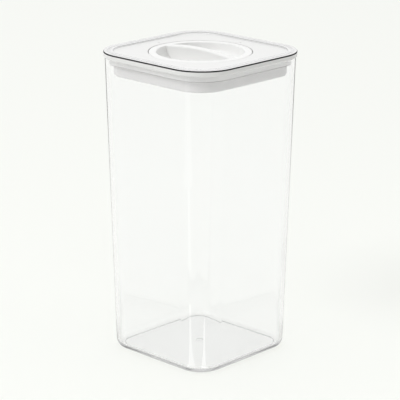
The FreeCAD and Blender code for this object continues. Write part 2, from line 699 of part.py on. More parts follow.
def screw_set(name, radius, length, head_radii, head_height, place, shaft_z, head_z, recess_z):
    """Equal screws round the axis, in one node."""
    body = new_body(name)
    features = [
        primitive(body, "AdditiveCylinder", "shaft", place, Radius=radius, Height=length,
                  AttachmentOffset__Base__z=shaft_z),
        primitive(body, "AdditiveCone", "head", place, Radius1=head_radii[0], Radius2=head_radii[1],
                  Height=head_height, AttachmentOffset__Base__z=head_z)]
    for slot, along, across in (("long_slot", "drive_width", "drive_length"),
                                ("cross_slot", "drive_length", "drive_width")):
        features.append(primitive(
            body, "SubtractiveBox", slot, f"{place} - {across} / 2",
            Length=along, Width=across, Height="drive_depth",
            AttachmentOffset__Base__x=f"-{along} / 2", AttachmentOffset__Base__z=recess_z))
    repeat(body, "set", features, SCREW_COUNTS[name])


screw_set("cam_screws", "cam_screw_radius", "cam_screw_length",
          ("cam_screw_head_radius", "cam_screw_radius"), "cam_screw_head_height",
          "cam_screw_place", "cam_bottom_z", "cam_bottom_z", "cam_bottom_z")
screw_set("ring_screws", "ring_screw_radius", "ring_screw_length",
          ("ring_screw_head_radius", "ring_screw_crown_radius"), "ring_screw_head_height",
          "ring_screw_place", "hook_ring_top_z - ring_screw_length", "hook_ring_top_z",
          "ring_screw_top_z - drive_depth")

# Every object is checked before any file is written, and each sub-part has a file of its own name

doc.recompute()
for item in doc.Objects:
    if "Invalid" in item.State or "Error" in item.State:
        raise RuntimeError(f"{item.Name} failed: {item.State}")
parts = {item.Label: item for item in doc.Objects if item.Label in NODES}
for name in NODES:
    shape = parts[name].Shape
    if shape.isNull() or not shape.isValid() or len(shape.Solids) != SCREW_COUNTS.get(name, 1):
        raise RuntimeError(f"{name} is not a sound solid")
os.makedirs("parts", exist_ok=True)
for name in NODES:
    shape = parts[name].Shape
    shape.exportStep(f"parts/{name}.step")
    box = shape.optimalBoundingBox(False)
    print(f"{name}: {len(shape.Solids)} solid, {shape.Volume:.0f} mm3, x {box.XMin:.2f} to {box.XMax:.2f},"
          f" y {box.YMin:.2f} to {box.YMax:.2f}, z {box.ZMin:.2f} to {box.ZMax:.2f}")
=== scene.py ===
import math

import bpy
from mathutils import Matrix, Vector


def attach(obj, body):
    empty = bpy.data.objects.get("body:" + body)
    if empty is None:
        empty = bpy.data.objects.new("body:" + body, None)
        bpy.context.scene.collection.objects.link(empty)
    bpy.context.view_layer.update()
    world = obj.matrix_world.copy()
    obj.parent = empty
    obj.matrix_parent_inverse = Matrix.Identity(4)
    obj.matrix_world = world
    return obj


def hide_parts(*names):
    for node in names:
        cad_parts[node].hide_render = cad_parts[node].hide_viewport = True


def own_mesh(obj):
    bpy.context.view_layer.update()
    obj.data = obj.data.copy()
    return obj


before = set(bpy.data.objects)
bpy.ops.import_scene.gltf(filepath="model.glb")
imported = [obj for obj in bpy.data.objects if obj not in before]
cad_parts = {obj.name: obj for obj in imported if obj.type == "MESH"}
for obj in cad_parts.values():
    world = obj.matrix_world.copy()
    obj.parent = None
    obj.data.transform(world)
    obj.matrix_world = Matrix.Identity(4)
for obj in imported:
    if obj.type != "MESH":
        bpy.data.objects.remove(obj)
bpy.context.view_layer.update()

# %% [markdown]
# # A clear storage canister with a twist-to-seal lid
#
# The canister is a tall square box of clear plastic. A white lid closes it, and a round dial in the lid
# squeezes a silicone gasket against the wall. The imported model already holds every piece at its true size,
# so this lesson models the pieces that the eye rests on again, smoother, and gives every piece its finish.
# The scene is in metres, +Z is up, and the canister stands on the plane z = 0. Sizes of pieces are written in
# millimetres, as on a drawing, and are multiplied by MM where they are used.

MM = 0.001

# %% [markdown]
# ## The camera
#
# The photograph looks down on one corner of the canister from above the lid. A long lens from about 1.3 m
# away keeps the upright edges almost parallel, as a product photographer would want. The place and the turn
# of the camera come from matching the lid's outline, the base and the upright edges.

# %% Camera
CAMERA_PLACE = Vector((-0.9032, -0.8691, 0.4862))
CAMERA_TARGET = Vector((0.0, 0.0, 0.1081))
CAMERA_ROLL = 0.0026
LENS_MM = 167.07
SENSOR_MM = 36.0


def add_camera():
    """Long lens, pointed at the middle of the canister, with a slight roll."""
    bpy.ops.object.camera_add(location=CAMERA_PLACE)
    camera = bpy.context.object
    camera.name = "camera"
    camera.data.lens = LENS_MM
    camera.data.sensor_width = SENSOR_MM
    camera.data.clip_start = 0.01
    camera.data.clip_end = 50.0
    look = (CAMERA_TARGET - CAMERA_PLACE).to_track_quat("-Z", "Y").to_matrix()
    turn = look @ Matrix.Rotation(CAMERA_ROLL, 3, "Z")
    camera.matrix_world = Matrix.Translation(CAMERA_PLACE) @ turn.to_4x4()
    bpy.context.scene.camera = camera
    return camera


camera = add_camera()
print("camera at", tuple(round(v, 3) for v in camera.location))

# %% [markdown]
# ## Helpers for modelling with operators
#
# An operator acts on whatever is selected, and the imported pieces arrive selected, so each step starts by
# letting go of everything. Faces and edges are then picked in code, by where they are.


# %% Selecting
def let_go():
    """Object mode with nothing selected."""
    if bpy.context.object and bpy.context.object.mode != "OBJECT":
        bpy.ops.object.mode_set(mode="OBJECT")
    bpy.ops.object.select_all(action="DESELECT")


def take(piece):
    """One piece selected and active, in object mode."""
    let_go()
    piece.select_set(True)
    bpy.context.view_layer.objects.active = piece


def pick(piece, kind, chosen):
    """In edit mode, selects the vertices, edges or faces of a piece for which chosen() is true."""
    bpy.ops.object.mode_set(mode="OBJECT")
    for item in (*piece.data.vertices, *piece.data.edges, *piece.data.polygons):
        item.select = False
    for item in getattr(piece.data, kind):
        item.select = chosen(item)
    bpy.ops.object.mode_set(mode="EDIT")


def apply_modifiers(piece):
    """Applies every modifier of a piece, in order."""
    take(piece)
    for modifier in list(piece.modifiers):
        bpy.ops.object.modifier_apply(modifier=modifier.name)


def finish_shape(piece, sharp=35.0):
    """Smooth faces, with the edges sharper than an angle in degrees kept crisp."""
    take(piece)
    bpy.ops.object.shade_smooth_by_angle(angle=math.radians(sharp))
    modifier = piece.modifiers.new("weighted_normals", "WEIGHTED_NORMAL")
    modifier.keep_sharp = True
    apply_modifiers(piece)
    print(f"{piece.name}: {len(piece.data.polygons)} faces")


print("modelling helpers are ready")

# %% [markdown]
# ## One section, run round a rounded square
#
# The walls, the clear frame, the gasket and the plate are all rounded squares, and each has the same
# section all the way round. On such a piece every corner is turned about the same upright axis, whatever
# the distance from the middle. So the section is drawn once at the start of a corner, spun by a quarter
# turn about the corner's axis, extruded straight to the next corner, and so on until it meets itself.

# %% Section run round a square
CORNER_AXIS = 28.55 * MM
CORNER_STEPS = 24
ROUND_STEPS = 6
MERGE_DISTANCE = 0.002 * MM


def draw_section(name, points, closed, start=-CORNER_AXIS):
    """Chain of edges through points in millimetres: distance from the middle, height and rounding."""
    let_go()
    bpy.ops.mesh.primitive_plane_add(size=MM)
    piece = bpy.context.object
    piece.name = piece.data.name = name
    bpy.ops.object.mode_set(mode="EDIT")
    bpy.ops.mesh.merge(type="CENTER")
    places = [Vector((away * MM, start, height * MM)) for away, height, _ in points]
    bpy.ops.transform.translate(value=places[0])
    for before, after in zip(places, places[1:]):
        bpy.ops.mesh.extrude_vertices_move(TRANSFORM_OT_translate={"value": after - before})
    if closed:
        pick(piece, "vertices", lambda v: v.index in (0, len(points) - 1))
        bpy.ops.mesh.edge_face_add()
    round_section(piece, points, places)
    return piece


def round_section(piece, points, places):
    """Rounds the corners of a section, each with its own radius."""
    for number, (_, _, radius) in enumerate(points):
        if not radius:
            continue
        here, before = places[number], places[number - 1]
        after = places[(number + 1) % len(places)]
        opening = (before - here).angle(after - here)
        pick(piece, "vertices", lambda v: (v.co - here).length < MERGE_DISTANCE)
        bpy.ops.mesh.bevel(affect="VERTICES", offset_type="OFFSET", segments=ROUND_STEPS,
                           offset=radius * MM / math.tan(opening / 2))


def merge_ends():
    """In edit mode, merges the places where a spun piece meets itself, and turns all faces outwards."""
    bpy.ops.mesh.select_all(action="SELECT")
    bpy.ops.mesh.remove_doubles(threshold=MERGE_DISTANCE)
    bpy.ops.mesh.normals_make_consistent(inside=False)
    bpy.ops.object.mode_set(mode="OBJECT")


def run_round():
    """Runs the active section round the square: four corners spun, four sides extruded."""
    bpy.ops.object.mode_set(mode="EDIT")
    bpy.ops.mesh.select_all(action="SELECT")
    corners = ((1, -1), (1, 1), (-1, 1), (-1, -1))
    for number, (side_x, side_y) in enumerate(corners):
        axis = Vector((side_x * CORNER_AXIS, side_y * CORNER_AXIS, 0))
        if number:
            bpy.ops.mesh.spin(steps=CORNER_STEPS, angle=-math.pi / 2, center=axis, axis=(0, 0, 1))
        following = corners[(number + 1) % len(corners)]
        step = Vector((following[0] - side_x, following[1] - side_y, 0)) * CORNER_AXIS
        bpy.ops.mesh.extrude_region_move(TRANSFORM_OT_translate={"value": step})
    first = Vector((CORNER_AXIS, -CORNER_AXIS, 0))
    bpy.ops.mesh.spin(steps=CORNER_STEPS, angle=-math.pi / 2, center=first, axis=(0, 0, 1))
    merge_ends()


print("section tools are ready")

# %% [markdown]
# ## The clear canister
#
# The real canister is injection moulded from clear plastic. Its walls lean out by 1.7 degrees so that it
# leaves the mould, and the thick floor stands on a foot ring. The section goes from the floor up the inner
# wall, over the rim and down to the foot. The middle of the floor is then closed with two flat faces.

# %% Canister
SECTION_END = 30.0
SKIN = 0.02
FLOOR_TOP, FOOT_RECESS, MOUTH = 3.3, 0.6, 212.2


def close_middle(piece, height):
    """Fills the hole that the section leaves in the middle, at a height in millimetres."""
    take(piece)
    pick(piece, "vertices", lambda v: abs(v.co.z - height * MM) < MERGE_DISTANCE
         and max(abs(v.co.x), abs(v.co.y)) < (SECTION_END + SKIN) * MM)
    bpy.ops.mesh.edge_face_add()
    bpy.ops.mesh.select_all(action="SELECT")
    bpy.ops.mesh.normals_make_consistent(inside=False)
    bpy.ops.object.mode_set(mode="OBJECT")


canister = draw_section("canister", [
    (SECTION_END, FLOOR_TOP, 0), (45.613, FLOOR_TOP, 2.5), (51.85, MOUTH - SKIN, 0.7),
    (54.05, MOUTH - SKIN, 0.7), (47.715, 0, 5.5), (40.715, 0, 0.25), (40.715, FOOT_RECESS, 0.25),
    (SECTION_END, FOOT_RECESS, 0)], closed=False)
run_round()
close_middle(canister, FLOOR_TOP)
close_middle(canister, FOOT_RECESS)
print("canister before the dimple:", len(canister.data.polygons), "faces")

# %% [markdown]
# In the middle of the floor the mould leaves a shallow round dimple. A small disc is cut out of the floor's
# upper face with a boolean.

# %% Gate dimple
GATE_RADIUS, GATE_DEPTH = 3.0, 0.4


def cut_away(piece, tool, operation="DIFFERENCE"):
    """Joins a tool to a piece, or takes it away, and deletes the tool."""
    modifier = piece.modifiers.new("cut", "BOOLEAN")
    modifier.operation = operation
    modifier.solver = "EXACT"
    modifier.object = tool
    apply_modifiers(piece)
    take(tool)
    bpy.ops.object.delete()


let_go()
bpy.ops.mesh.primitive_cylinder_add(vertices=48, radius=GATE_RADIUS * MM, depth=2 * GATE_DEPTH * MM,
                                    location=(0, 0, FLOOR_TOP * MM))
gate = bpy.context.object
bpy.ops.object.transform_apply(location=True, rotation=True, scale=True)
cut_away(canister, gate)
finish_shape(canister, sharp=40.0)

# %% [markdown]
# ## The clear frame
#
# A thin frame of clear plastic lies on the lid, flush with its outer edge. A key below it snaps into a groove
# of the lid. Its polished upper edges are what catches the light, so they are rounded.

# %% Clear frame
PANEL, FRAME_TOP, KEY_BOTTOM = 215.1, 216.1, 214.3
FRAME_INNER, KEY_INNER, KEY_OUTER, FRAME_OUTER, FRAME_ROUND = 48.2, 51.2, 52.2, 55.0, 0.35
FRAME_BOTTOM = PANEL + SKIN
rim_frame = draw_section("clear_frame", [
    (FRAME_INNER, FRAME_BOTTOM, 0), (KEY_INNER, FRAME_BOTTOM, 0), (KEY_INNER, KEY_BOTTOM, 0),
    (KEY_OUTER, KEY_BOTTOM, 0), (KEY_OUTER, FRAME_BOTTOM, 0), (FRAME_OUTER, FRAME_BOTTOM, 0),
    (FRAME_OUTER, FRAME_TOP, FRAME_ROUND), (FRAME_INNER, FRAME_TOP, FRAME_ROUND)], closed=True)
run_round()
finish_shape(rim_frame)

# %% [markdown]
# ## The gasket
#
# The gasket is a soft ring of silicone with a C section that is open towards the middle. When the plate
# rises, the ring gets shorter and its back bulges against the wall of the canister. The back is slightly
# crowned, because a moulded ring is never flat there. A narrow groove runs round it just above the plate,
# and its shade is the fine dark line between the two bands in the photograph.

# %% Gasket
GASKET_LOW, GASKET_HIGH = 207.6 + SKIN, MOUTH - SKIN
GASKET_INNER, GASKET_HOLLOW, GASKET_OUTER, LIP = 45.55, 49.35, 51.15, 1.4
GROOVE_LOW, GROOVE_HIGH, GROOVE_FLOOR = GASKET_LOW + 0.1, GASKET_LOW + 0.65, 50.0
gasket = draw_section("silicone_gasket", [
    (GASKET_INNER, GASKET_LOW, 0.3), (50.85, GASKET_LOW, 0.1), (50.95, GROOVE_LOW, 0.05),
    (GROOVE_FLOOR, GROOVE_LOW, 0), (GROOVE_FLOOR, GROOVE_HIGH, 0), (GASKET_OUTER, GROOVE_HIGH, 0.1),
    (GASKET_OUTER, GASKET_HIGH - 1.3, 1.2), (50.75, GASKET_HIGH, 0.7), (GASKET_INNER, GASKET_HIGH, 0.3),
    (GASKET_INNER, GASKET_HIGH - LIP, 0.3), (GASKET_HOLLOW, GASKET_HIGH - LIP, 0.3),
    (GASKET_HOLLOW, GASKET_LOW + LIP, 0.3), (GASKET_INNER, GASKET_LOW + LIP, 0.3)], closed=True)
run_round()
finish_shape(gasket)

# %% [markdown]
# ## The dial
#
# The dial is one moulding: a ring that lies flush in the lid, a bowl for the fingertips, and a grip bar
# across the bowl. Ring, bowl and hub are round, so they are one section spun about the upright axis, and
# every ledge and groove is a corner of that section.

# %% Dial: ring, bowl and hub
DIAL_STEPS = 128
BOWL_FLOOR, BOWL_FLOOR_RADIUS, BOWL_RADIUS = 206.6, 28.38, 30.5
RING_RADIUS, RING_UNDER = 35.75, 212.9
HUB_RADIUS, HUB_LOW = 31.92, 208.8
SEAL_GROOVE_RADIUS, SEAL_GROOVE_LOW, SEAL_GROOVE_HIGH = 30.73, 210.76, 212.04
DIAL_BOTTOM, DIAL_BOTTOM_RADIUS = 204.8, 27.0


def spin_full(piece, steps):
    """Spins a section into a closed piece about the upright axis."""
    take(piece)
    bpy.ops.object.mode_set(mode="EDIT")
    bpy.ops.mesh.select_all(action="SELECT")
    bpy.ops.mesh.spin(steps=steps, angle=2 * math.pi, center=(0, 0, 0), axis=(0, 0, 1))
    merge_ends()


dial = draw_section("dial_knob", [
    (0, BOWL_FLOOR, 0), (BOWL_FLOOR_RADIUS, BOWL_FLOOR, 5.5), (BOWL_RADIUS, PANEL, 0.7),
    (RING_RADIUS, PANEL, 0.5), (RING_RADIUS, RING_UNDER, 0), (HUB_RADIUS, RING_UNDER, 0),
    (HUB_RADIUS, SEAL_GROOVE_HIGH, 0), (SEAL_GROOVE_RADIUS, SEAL_GROOVE_HIGH, 0),
    (SEAL_GROOVE_RADIUS, SEAL_GROOVE_LOW, 0), (HUB_RADIUS, SEAL_GROOVE_LOW, 0), (HUB_RADIUS, HUB_LOW, 0),
    (DIAL_BOTTOM_RADIUS, DIAL_BOTTOM, 0), (0, DIAL_BOTTOM, 0)], closed=False, start=0.0)
spin_full(dial, DIAL_STEPS)
print("ring, bowl and hub:", len(dial.data.polygons), "faces")

# %% [markdown]
# The top of the grip bar is a long flat arch with rounded edges. It could be bent from a straight bar, but a
# spin gives it more evenly: the bar's cross-section is leant back to one end of the arch and spun about a
# level axis far below. The bar comes out too long and too deep, and is trimmed in the next step.

# %% Dial: grip bar
BAR_WIDTH, BAR_TOP, BAR_FOOT, BAR_RISE, BAR_ROUND = 6.5, 217.28, 206.0, 2.2, 1.1
BAR_STEPS = 40
BAR_REACH = BOWL_RADIUS + 0.4
BAR_ARC = (BAR_REACH ** 2 + BAR_RISE ** 2) / (2 * BAR_RISE)
BAR_ANGLE = math.asin(BAR_REACH / BAR_ARC)
BAR_SECTION_FOOT = BAR_FOOT - BAR_RISE - 1
WALL_SLOPE = math.atan((BOWL_RADIUS - BOWL_FLOOR_RADIUS) / (PANEL - BOWL_FLOOR))


def spin_solid(piece, steps, angle, centre, axis):
    """Fills a section and spins it through an angle into a closed solid."""
    bpy.ops.object.mode_set(mode="EDIT")
    bpy.ops.mesh.select_all(action="SELECT")
    bpy.ops.mesh.edge_face_add()
    bpy.ops.mesh.spin(steps=steps, angle=angle, center=centre, axis=axis)
    merge_ends()
    print(f"{piece.name}: {len(piece.data.polygons)} faces")


bar = draw_section("grip_bar", [
    (-BAR_WIDTH / 2, BAR_SECTION_FOOT, 0), (-BAR_WIDTH / 2, BAR_TOP, BAR_ROUND),
    (BAR_WIDTH / 2, BAR_TOP, BAR_ROUND), (BAR_WIDTH / 2, BAR_SECTION_FOOT, 0)], closed=True, start=0.0)
take(bar)
arc_centre = Vector((0, 0, (BAR_TOP - BAR_ARC) * MM))
turn_back = Matrix.Rotation(BAR_ANGLE, 4, "X")
bar.data.transform(Matrix.Translation(arc_centre) @ turn_back @ Matrix.Translation(-arc_centre))
spin_solid(bar, BAR_STEPS, 2 * BAR_ANGLE, arc_centre, (1, 0, 0))

# %% [markdown]
# The ends of the bar are trimmed along the leaning wall of the bowl, and its foot just below the floor, so
# that the two overlap by a little everywhere. They are then united.

# %% Dial: bar trimmed and united
take(bar)
bpy.ops.object.mode_set(mode="EDIT")
for side in (1, -1):
    bpy.ops.mesh.select_all(action="SELECT")
    bpy.ops.mesh.bisect(plane_co=(0, side * BAR_REACH * MM, PANEL * MM),
                        plane_no=(0, side * math.cos(WALL_SLOPE), -math.sin(WALL_SLOPE)),
                        use_fill=True, clear_outer=True)
bpy.ops.mesh.select_all(action="SELECT")
bpy.ops.mesh.bisect(plane_co=(0, 0, BAR_FOOT * MM), plane_no=(0, 0, -1), use_fill=True, clear_outer=True)
bpy.ops.mesh.select_all(action="SELECT")
bpy.ops.mesh.normals_make_consistent(inside=False)
bpy.ops.object.mode_set(mode="OBJECT")
cut_away(dial, bar, "UNION")
print("dial with its bar:", len(dial.data.polygons), "faces")

# %% [markdown]
# Three features of the dial stay out of sight in the closed lid. A lug below the ring runs in a slot of the
# lid and stops the dial after a quarter turn. Two pilot holes take the screws of the cam disc. The bar is
# hollow from below, so that the plastic cools evenly. The lug is a small section spun through its angle, and
# the holes and the hollow are cut with a boolean.

# %% Dial: lug, pilot holes and hollow
LUG_ANGLE, SLOT_DIRECTION, TURN_ANGLE = math.radians(10), math.radians(90), math.radians(90)
LUG_INNER, LUG_OUTER, LUG_BOTTOM, LUG_TOP, LUG_STEPS = 34.5, 35.5, 211.6, PANEL - 1, 8
PILOT_RADIUS, PILOT_PLACE, PILOT_DEPTH, PILOT_STEPS = 1.25, 16.0, 6.7, 32
CORE_WIDTH, CORE_REACH, CORE_TOP = 3.0, 11.5, 212.7


def join_lug():
    """Sector of a small rectangular section, united with the dial."""
    lug = draw_section("stop_lug", [(LUG_INNER, LUG_BOTTOM, 0), (LUG_OUTER, LUG_BOTTOM, 0),
                                    (LUG_OUTER, LUG_TOP, 0), (LUG_INNER, LUG_TOP, 0)],
                       closed=True, start=0.0)
    take(lug)
    middle = SLOT_DIRECTION + TURN_ANGLE / 2
    lug.data.transform(Matrix.Rotation(middle + LUG_ANGLE / 2, 4, "Z"))
    spin_solid(lug, LUG_STEPS, LUG_ANGLE, (0, 0, 0), (0, 0, 1))
    cut_away(dial, lug, "UNION")


def cut_pilot(side):
    """Blind hole for a screw, from below."""
    let_go()
    bpy.ops.mesh.primitive_cylinder_add(vertices=PILOT_STEPS, radius=PILOT_RADIUS * MM,
                                        depth=2 * PILOT_DEPTH * MM,
                                        location=(0, side * PILOT_PLACE * MM, DIAL_BOTTOM * MM))
    hole = bpy.context.object
    bpy.ops.object.transform_apply(location=True, rotation=True, scale=True)
    cut_away(dial, hole)


def cut_core():
    """Long hollow under the bar, from below."""
    let_go()
    bpy.ops.mesh.primitive_cube_add(size=MM, location=(0, 0, DIAL_BOTTOM * MM))
    core = bpy.context.object
    core.scale = (CORE_WIDTH, 2 * CORE_REACH, 2 * (CORE_TOP - DIAL_BOTTOM))
    bpy.ops.object.transform_apply(location=True, rotation=True, scale=True)
    cut_away(dial, core)


join_lug()
for side in (1, -1):
    cut_pilot(side)
cut_core()
finish_shape(dial)

# %% [markdown]
# ## The O-ring of the dial
#
# The dial turns in a soft ring that keeps air out. A torus is the start, and a fine parting line is raised
# round its outside and inside, where the two halves of the mould met.

# %% O-ring
RING_MIDDLE, RING_SECTION, RING_HEIGHT = 31.37, 0.58, 211.4
let_go()
bpy.ops.mesh.primitive_torus_add(major_radius=RING_MIDDLE * MM, minor_radius=(RING_SECTION - SKIN) * MM,
                                 major_segments=128, minor_segments=20, location=(0, 0, RING_HEIGHT * MM))
ring = bpy.context.object
ring.name = ring.data.name = "dial_ring_seal"
bpy.ops.object.transform_apply(location=True, rotation=True, scale=True)
pick(ring, "vertices", lambda v: abs(v.co.z - RING_HEIGHT * MM) < MERGE_DISTANCE)
bpy.ops.transform.shrink_fatten(value=SKIN * MM)
bpy.ops.object.mode_set(mode="OBJECT")
finish_shape(ring, sharp=60.0)

# %% [markdown]
# ## Nodes for the finishes
#
# A finish is a small tree of nodes, and a few of them come up again and again: sums, grey ramps and mixes.
# Short functions add them, so that each finish further down reads as a list of what it is made of.

# %% Nodes that come up again and again
MIX_SHARE, MIX_FIRST, MIX_SECOND, MIX_RESULT = 0, 6, 7, 2


def add_node(tree, kind, settings=(), **links):
    """Node with its settings, and sockets linked or set by name; a double underscore is a space."""
    node = tree.nodes.new(f"ShaderNode{kind}")
    for name, value in dict(settings).items():
        setattr(node, name, value)
    for name, value in links.items():
        feed(tree, value, node.inputs[name.replace("__", " ")])
    return node


def feed(tree, value, socket):
    """Links a socket to another one, or sets its value."""
    if isinstance(value, bpy.types.NodeSocket):
        tree.links.new(value, socket)
    else:
        socket.default_value = value


def calculate(tree, operation, *values):
    """Result of a sum on numbers and sockets, in order."""
    node = add_node(tree, "Math", {"operation": operation})
    for value, socket in zip(values, node.inputs):
        feed(tree, value, socket)
    return node.outputs[0]


def add_ramp(tree, value, stops):
    """Grey ramp with stops of position and tone."""
    ramp = add_node(tree, "ValToRGB", Fac=value)
    elements = ramp.color_ramp.elements
    while len(elements) < len(stops):
        elements.new(0.5)
    for element, (position, tone) in zip(elements, stops):
        element.position = position
        element.color = (tone, tone, tone, 1)
    return ramp.outputs["Color"]


def mix_colours(tree, share, first, second):
    """Mix of two colours; a share of 0 gives the first."""
    mix = add_node(tree, "Mix", {"data_type": "RGBA"})
    for value, number in ((share, MIX_SHARE), (first, MIX_FIRST), (second, MIX_SECOND)):
        feed(tree, value, mix.inputs[number])
    return mix.outputs[MIX_RESULT]


def mix_shaders(tree, share, first, second):
    """Mix of two shaders; a share of 0 gives the first."""
    mix = add_node(tree, "MixShader", Fac=share)
    feed(tree, first, mix.inputs[1])
    feed(tree, second, mix.inputs[2])
    return mix.outputs["Shader"]


print("node tools are ready")

# %% [markdown]
# ## The surface of a moulding
#
# Moulded plastic is never perfectly even: the mould leaves a fine grain, and the polish varies a little
# over a hand's width. Both are noise patterns that follow the object's own coordinates. They are built once
# as a node group, with inputs for how large and how strong, and every finish places it with its own values.


# %% Surface of a moulding
def new_group(name, inputs, outputs):
    """Shader node group with named number inputs and named outputs."""
    group = bpy.data.node_groups.new(name, "ShaderNodeTree")
    for label, value in inputs:
        socket = group.interface.new_socket(label, in_out="INPUT", socket_type="NodeSocketFloat")
        socket.default_value = value
    for label, kind in outputs:
        group.interface.new_socket(label, in_out="OUTPUT", socket_type=f"NodeSocket{kind}")
    return group, group.nodes.new("NodeGroupInput"), group.nodes.new("NodeGroupOutput")


def noise(tree, scale, detail=2.0):
    """Noise on the object's own coordinates, from 0 to 1."""
    place = add_node(tree, "TexCoord")
    return add_node(tree, "TexNoise", Vector=place.outputs["Object"], Scale=scale, Detail=detail)


def moulded_surface():
    """Fine grain of the mould, and a slow drift of polish and tone."""
    group, given, made = new_group(
        "moulded_surface",
        [("Grain Scale", 2500.0), ("Drift Scale", 30.0), ("Roughness", 0.35), ("Drift", 0.05)],
        [("Height", "Float"), ("Roughness", "Float"), ("Tone", "Float")])
    grain = noise(group, given.outputs["Grain Scale"])
    drift = noise(group, given.outputs["Drift Scale"], 3.0)
    centred = calculate(group, "SUBTRACT", drift.outputs["Fac"], 0.5)
    spread = calculate(group, "MULTIPLY_ADD", centred, given.outputs["Drift"], given.outputs["Roughness"])
    group.links.new(grain.outputs["Fac"], made.inputs["Height"])
    group.links.new(spread, made.inputs["Roughness"])
    group.links.new(drift.outputs["Fac"], made.inputs["Tone"])
    return group


surface_group = moulded_surface()
print("node group ready:", surface_group.name)

# %% [markdown]
# ## Opaque finishes
#
# White lid plastic, the matt parts inside, silicone, rubber and the washer differ in tone, polish and grain,
# but not in kind. One function makes them: two near tones are mixed by the slow drift, and the grain goes
# into a faint bump. The steel of the screws is made with it too, as a metal.

# %% Opaque finishes
GRAIN_STRENGTH = 0.4


def new_material(name):
    """Material with nodes, its tree and its shader."""
    material = bpy.data.materials.new(name)
    material.use_nodes = True
    return material, material.node_tree, material.node_tree.nodes["Principled BSDF"]


def opaque_finish(name, light, dark, roughness, drift, grain_scale, bump_depth, **constants):
    """Moulded opaque material: two near tones, how rough it is and how much that drifts, the scale and the
    depth of its grain, and constants, the sockets of the shader that are the same all over."""
    material, tree, shader = new_material(name)
    surface = add_node(tree, "Group", {"node_tree": surface_group}, Grain__Scale=grain_scale,
                       Roughness=roughness, Drift=drift)
    tones = mix_colours(tree, surface.outputs["Tone"], (*dark, 1), (*light, 1))
    bump = add_node(tree, "Bump", Height=surface.outputs["Height"], Strength=GRAIN_STRENGTH,
                    Distance=bump_depth)
    tree.links.new(tones, shader.inputs["Base Color"])
    tree.links.new(surface.outputs["Roughness"], shader.inputs["Roughness"])
    tree.links.new(bump.outputs["Normal"], shader.inputs["Normal"])
    for socket, value in constants.items():
        shader.inputs[socket].default_value = value
    return material


white_plastic = opaque_finish("white_lid_plastic", (0.79, 0.79, 0.78), (0.765, 0.765, 0.755), 0.32, 0.1,
                              2500.0, 0.00002, IOR=1.5)
dial_plastic = opaque_finish("white_dial_plastic", (0.85, 0.85, 0.84), (0.83, 0.83, 0.82), 0.3, 0.1,
                             2500.0, 0.00002, IOR=1.5)
plate_plastic = opaque_finish("white_plate_plastic", (0.8, 0.79, 0.795), (0.77, 0.76, 0.765), 0.38, 0.1,
                              2200.0, 0.00003, IOR=1.5)
inner_plastic = opaque_finish("matt_inner_plastic", (0.74, 0.74, 0.72), (0.68, 0.68, 0.66), 0.6, 0.15,
                              1500.0, 0.00005, IOR=1.45)
washer_plastic = opaque_finish("slippery_washer", (0.78, 0.76, 0.68), (0.74, 0.72, 0.64), 0.45, 0.1,
                               1800.0, 0.00003, IOR=1.53)
silicone = opaque_finish("pale_silicone", (0.92, 0.91, 0.915), (0.89, 0.88, 0.885), 0.5, 0.15,
                         1800.0, 0.00004, IOR=1.41)
seal_rubber = opaque_finish("ring_seal_rubber", (0.6, 0.6, 0.58), (0.54, 0.54, 0.52), 0.6, 0.15,
                            2000.0, 0.00004, IOR=1.45)
screw_steel = opaque_finish("plain_steel", (0.62, 0.62, 0.63), (0.5, 0.5, 0.51), 0.3, 0.2,
                            3000.0, 0.00002, Metallic=1.0)
print("finishes:", [material.name for material in bpy.data.materials])

# %% [markdown]
# ## Clear plastic
#
# Clear plastic bends light as glass does, with a refractive index near 1.57. On top of that, three things
# are helped along, because a plain studio can't give them:
#
# - Light that is mirrored inside the plastic again and again would need a long chase. After the second
#   mirroring it is given a grey tone instead, which depends on the height: dark where the floor meets the
#   wall, as in the photograph, and pale above.
# - A wall that is seen edge on shows a thin dark line in the photograph, stronger towards the top. It is
#   painted shade, drawn only where the camera looks at the wall directly: a dark glow that stands in for the
#   darker surroundings which a clear wall bends into view when it is seen edge on.
# - A ray that only asks how much light a place gets is let straight through, since real light passes the
#   thin walls almost unhindered and the canister throws hardly any shadow. Both kinds of such rays are
#   named, or the floor would be lit twice. The thick floor of the canister takes a tenth of the light at
#   each face, and the walls take next to none.
#
# The tones below are pairs of a height, as a share of the canister's, and a grey tone or a strength.

# %% Clear plastic
WAVE_SCALE, WAVE_STRENGTH = 45.0, 0.3
TRAPPED_AFTER = 1.5
WALL_ENDS = ((0.0, 0.1), (0.001, 0.1), (0.002, 0.8), (0.0154, 0.8), (0.016, 0.0), (0.05, 0.0), (0.1, 0.8),
             (0.5, 0.9), (1.0, 0.85))
FRAME_ENDS = ((0.0, 0.45), (1.0, 0.45))
PASS_TONES = ((0.0, 0.9), (0.0155, 0.9), (0.019, 0.985))
# painted shade: strengths by height of the dark line drawn where a wall is seen edge on
PAINTED_EDGE_ON_SHADE_STRENGTHS = ((0.0, 0.2), (0.5, 0.3), (0.68, 0.55), (0.85, 0.9))
PAINTED_EDGE_ON_SHADE_TONE, PAINTED_EDGE_ON_SHADE_FROM, PAINTED_EDGE_ON_SHADE_FULL = 0.12, 0.76, 0.9


def paint_edge_on_shade(tree, level, shader, strengths):
    """Painted shade: a thin dark line where the camera sees the wall edge on."""
    slant = add_node(tree, "LayerWeight", Blend=0.5)
    edge_on = add_node(tree, "MapRange", Value=slant.outputs["Facing"], From__Min=PAINTED_EDGE_ON_SHADE_FROM,
                       From__Max=PAINTED_EDGE_ON_SHADE_FULL)
    strength = calculate(tree, "MULTIPLY", edge_on.outputs["Result"], add_ramp(tree, level, strengths))
    path = add_node(tree, "LightPath")
    share = calculate(tree, "MULTIPLY", strength, path.outputs["Is Camera Ray"])
    dark = add_node(tree, "Emission", Color=(PAINTED_EDGE_ON_SHADE_TONE, PAINTED_EDGE_ON_SHADE_TONE, PAINTED_EDGE_ON_SHADE_TONE, 1))
    return mix_shaders(tree, share, shader, dark.outputs["Emission"])


